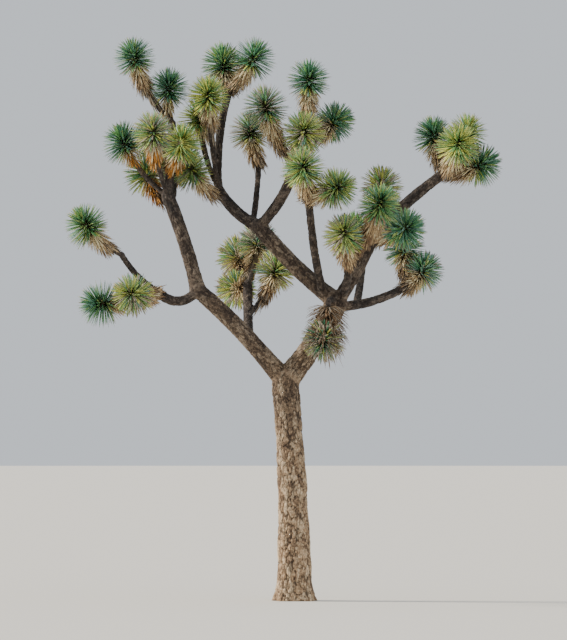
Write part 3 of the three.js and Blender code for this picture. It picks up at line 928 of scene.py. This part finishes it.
class TREE_OT_dead_leaves(bpy.types.Operator):
    """Hangs the sleeve of dead leaves back along every stalk, and closes the stems inside"""

    bl_idname = "joshua_tree.dead_leaves"
    bl_label = "Grow dead leaves"

    def execute(self, context):
        settings = context.scene.joshua_tree
        # Dry leaves, bleached by the sun: straw where they died last, tan and then grey-brown further back.
        materials = [
            leaf_material("straw_dead_leaf", linear("#bfaa80"), linear("#ddd0ac"), linear("#9c8a6a"), 0.75),
            leaf_material("tan_dead_leaf", linear("#97815f"), linear("#bfa783"), linear("#806b52"), 0.8),
            leaf_material("rust_dead_leaf", linear("#94632f"), linear("#bd8748"), linear("#6f4b2a"), 0.8),
            leaf_material("brown_dead_leaf", linear("#64533f"), linear("#866e55"), linear("#544638"), 0.85),
            leaf_material("grey_dead_leaf", linear("#776a5b"), linear("#978a78"), linear("#665b4f"), 0.9),
        ]
        # Which of those a sleeve takes, from the tuft backwards.
        orders = {
            "straw": [0, 0, 1, 1, 3, 4],
            "tan": [0, 1, 1, 3, 1, 3],
            "rust": [0, 1, 2, 2, 2, 3],
            "brown": [4, 3, 3, 3, 4, 3],
        }
        clearance = 3 * MM
        stem = 18  # millimetres from the stem's line to a dead leaf's root
        sleeve_run = SLEEVE_LENGTH - 150 * MM
        random.seed(12)
        space = TuftSpace()
        batches = leaf_batches("dead", materials)
        for stalk in STALKS:
            thatch, run = SHAGGY_SLEEVES.get(stalk.mass, (1.0, 1.0))
            total = round(settings.dead_per_tuft * max(thatch, run))
            hanging = stalk.axis.z < -0.5
            nearest = 10 * MM if hanging else 45 * MM
            order = orders[THATCHES.get(stalk.mass, "straw")]
            for i in range(total):
                rank = (i + 0.5) / total  # 0 beside the tuft and 1 at the sleeve's end
                if i % 9 == 0:
                    rank = random.uniform(1.0, 2.0)  # a straggler that still clings further back
                share = 1 - (nearest + rank * run * sleeve_run) / stalk.line.length
                if share < 0.1:
                    continue
                axis = stalk.line.tangent(share)
                side = (stalk.line.side - axis * stalk.line.side.dot(axis)).normalized()
                outward = square_to(axis, i * GOLDEN_ANGLE + random.gauss(0, 0.15), side)
                # Dead leaves fold back along the stem, but on a stem that hangs they fall round its tuft.
                fold = 62 + 40 * rank if hanging else 118 + 44 * rank**0.45
                lean = math.radians(min(170, fold) + random.gauss(0, 5))
                direction = axis * math.cos(lean) + outward * math.sin(lean)
                root = stalk.line.point(share) + outward * stem * MM
                length = random.uniform(135, 190) * MM * (1.25 if hanging else 1)
                out = (stem * MM + length * math.sin(lean)) / (settings.sleeve_reach * thatch)
                length /= max(1, out)
                if not space.fits(stalk.mass, root, direction, length, clearance):
                    continue
                width = settings.leaf_width * random.uniform(0.7, 1.0)
                fall = random.uniform(0.3, 0.6) if hanging else 0.06
                bend = -outward * length * random.uniform(0.02, 0.14) + Vector((0, 0, -1)) * length * fall
                place = round(rank * 5 + random.gauss(0, 1.1))
                shade = order[min(5, max(0, place))]
                batches[side_of(stalk.mass)].add(root, direction, outward, length, width, bend, shade)
        finish_batches(batches)
        finish_piece(add_object("leaf_stems", leaf_stems()), "foliage", *MASSES)
        return {"FINISHED"}


def leaf_stems():
    """The stems inside the tufts, from the bare wood to a rounded end past each heart."""
    bm = bmesh.new()
    for stalk in STALKS:
        first = stalk.sleeve_start
        rings = [(first + (1 - first) * i / 5, TWIG_RADIUS * (0.92 - 0.1 * i / 5), 0, 0) for i in range(6)]
        rings += [(1, TWIG_RADIUS * 0.7, 35 * MM, 0), (1, TWIG_RADIUS * 0.35, 75 * MM, 0)]
        loft(bm, stalk.line, rings, 10)
    bmesh.ops.recalc_face_normals(bm, faces=bm.faces)
    mesh = mesh_from(bm, "leaf_stems")
    mesh.materials.append(leaf_stem_bark())
    mesh.shade_smooth()
    return mesh


def leaf_stem_bark():
    """The stem inside a tuft, closed over by old leaf bases: dull brown, with scars about 12 mm apart."""
    material, tree, shader = new_material("leaf_base_stem")
    place = add_node(tree, "ShaderNodeTexCoord").outputs["Object"]
    scars = add_node(tree, "ShaderNodeTexVoronoi", {"Scale": 80.0}, {"Vector": place}).outputs["Distance"]
    stops = [(0.1, linear("#7a6a4c")), (0.5, linear("#4f4331")), (0.8, linear("#352c20"))]
    tree.links.new(ramp(tree, scars, stops), shader.inputs["Base Color"])
    bump = add_node(tree, "ShaderNodeBump", {"Strength": 0.6, "Distance": 3 * MM}, {"Height": scars})
    tree.links.new(bump.outputs["Normal"], shader.inputs["Normal"])
    shader.inputs["Roughness"].default_value = 0.9
    return material


class TREE_OT_stage(bpy.types.Operator):
    """Lays a pale floor, sets soft studio light and stands the camera at eye height"""

    bl_idname = "joshua_tree.stage"
    bl_label = "Set the stage"

    def execute(self, context):
        scene = context.scene
        bm = bmesh.new()
        bmesh.ops.create_circle(bm, cap_ends=True, segments=96, radius=140)
        mesh = mesh_from(bm, "floor")
        material, tree, shader = new_material("pale_matt_floor")
        place = add_node(tree, "ShaderNodeTexCoord").outputs["Object"]
        # A faint grain about 30 mm across.
        grain = add_node(tree, "ShaderNodeTexNoise", {"Scale": 30.0, "Detail": 1.0}, {"Vector": place})
        colour = ramp(tree, grain.outputs["Fac"], [(0.3, linear("#dcd8cf")), (0.7, linear("#dedad1"))])
        tree.links.new(colour, shader.inputs["Base Color"])
        shader.inputs["Roughness"].default_value = 0.95
        mesh.materials.append(material)
        add_object("floor", mesh)

        world = bpy.data.worlds.new("studio")
        world.use_nodes = True
        background = world.node_tree.nodes["Background"]
        background.inputs["Color"].default_value = (*linear("#e3e9f0"), 1)
        background.inputs["Strength"].default_value = 0.9
        scene.world = world

        # The key stands to the left and a little behind, as the sun does. The broad weak fill is in front.
        self.add_light("key", (-9, 1.5, 8), 13, 5.6, "#fff5e6")
        self.add_light("fill", (5, -13, 6), 70, 0.6, "#eef3ff")

        # The camera stands far off at eye height, with a long lens.
        distance, eye = 45.0, 1.6
        aim = Vector((-0.1, 0, 2.52))
        wanted_height = 5.75  # metres that the image's long side takes in at the tree
        camera = bpy.data.cameras.new("camera")
        camera.sensor_width = 36
        camera.lens = 18 / math.tan(math.atan(wanted_height / 2 / distance))
        camera.clip_end = 400
        holder = bpy.data.objects.new("camera", camera)
        holder.location = (aim.x, -distance, eye)
        holder.rotation_euler = (aim - holder.location).to_track_quat("-Z", "Y").to_euler()
        scene.collection.objects.link(holder)
        scene.camera = holder
        return {"FINISHED"}

    def add_light(self, name, place, breadth, strength, colour):
        """A broad far light, breadth degrees wide, that shines from the place towards the crown."""
        light = bpy.data.lights.new(name, "SUN")
        light.angle = math.radians(breadth)
        light.energy = strength
        light.color = linear(colour)
        holder = bpy.data.objects.new(name, light)
        holder.location = place
        crown = Vector((0, 0, 2.8))
        holder.rotation_euler = (crown - holder.location).to_track_quat("-Z", "Y").to_euler()
        bpy.context.scene.collection.objects.link(holder)


class TreeSettings(bpy.types.PropertyGroup):
    """Sizes and colours that a user would change"""

    bark_grid: bpy.props.FloatProperty(
        name="Bark grid", description="Spacing of the bark mesh", default=7.6 * MM, min=4 * MM, unit="LENGTH"
    )
    bark_depth: bpy.props.FloatProperty(
        name="Bark depth", description="Depth of the trunk's cracks", default=11 * MM, min=0, unit="LENGTH"
    )
    bark_colour: bpy.props.FloatVectorProperty(
        name="Bark colour",
        description="Colour of the weathered plates",
        default=linear("#b99f80"),
        size=3,
        subtype="COLOR",
        min=0,
        max=1,
    )
    leaf_colour: bpy.props.FloatVectorProperty(
        name="Leaf colour",
        description="Colour of most living leaves",
        default=linear("#7aaa6f"),
        size=3,
        subtype="COLOR",
        min=0,
        max=1,
    )
    leaves_per_tuft: bpy.props.IntProperty(
        name="Living leaves", description="Living leaves in a tuft", default=310, min=20, max=600
    )
    dead_per_tuft: bpy.props.IntProperty(
        name="Dead leaves", description="Dead leaves in a tuft's sleeve", default=230, min=0, max=600
    )
    leaf_width: bpy.props.FloatProperty(
        name="Leaf width", description="Width of a living leaf", default=15.5 * MM, min=4 * MM, unit="LENGTH"
    )
    rosette_reach: bpy.props.FloatProperty(
        name="Rosette reach", description="From a tuft's heart to the tips", default=224 * MM, unit="LENGTH"
    )
    sleeve_reach: bpy.props.FloatProperty(
        name="Sleeve reach", description="From the stem to dead leaf tips", default=122 * MM, unit="LENGTH"
    )


class TREE_PT_panel(bpy.types.Panel):
    """The tree's pieces and settings"""

    bl_idname = "TREE_PT_panel"
    bl_label = "Joshua tree"
    bl_space_type = "VIEW_3D"
    bl_region_type = "UI"
    bl_category = "Joshua tree"

    def draw(self, context):
        settings = context.scene.joshua_tree
        for name in TreeSettings.__annotations__:
            self.layout.prop(settings, name)
        for operator in OPERATORS:
            self.layout.operator(operator.bl_idname)


OPERATORS = [TREE_OT_bark, TREE_OT_live_leaves, TREE_OT_dead_leaves, TREE_OT_stage]
CLASSES = [TreeSettings, *OPERATORS, TREE_PT_panel]


def register():
    for cls in CLASSES:
        bpy.utils.register_class(cls)
    bpy.types.Scene.joshua_tree = bpy.props.PointerProperty(type=TreeSettings)


def unregister():
    del bpy.types.Scene.joshua_tree
    for cls in reversed(CLASSES):
        bpy.utils.unregister_class(cls)


def main():
    register()
    bpy.ops.joshua_tree.bark()
    bpy.ops.joshua_tree.live_leaves()
    bpy.ops.joshua_tree.dead_leaves()
    bpy.ops.joshua_tree.stage()


if __name__ == "__main__":
    main()
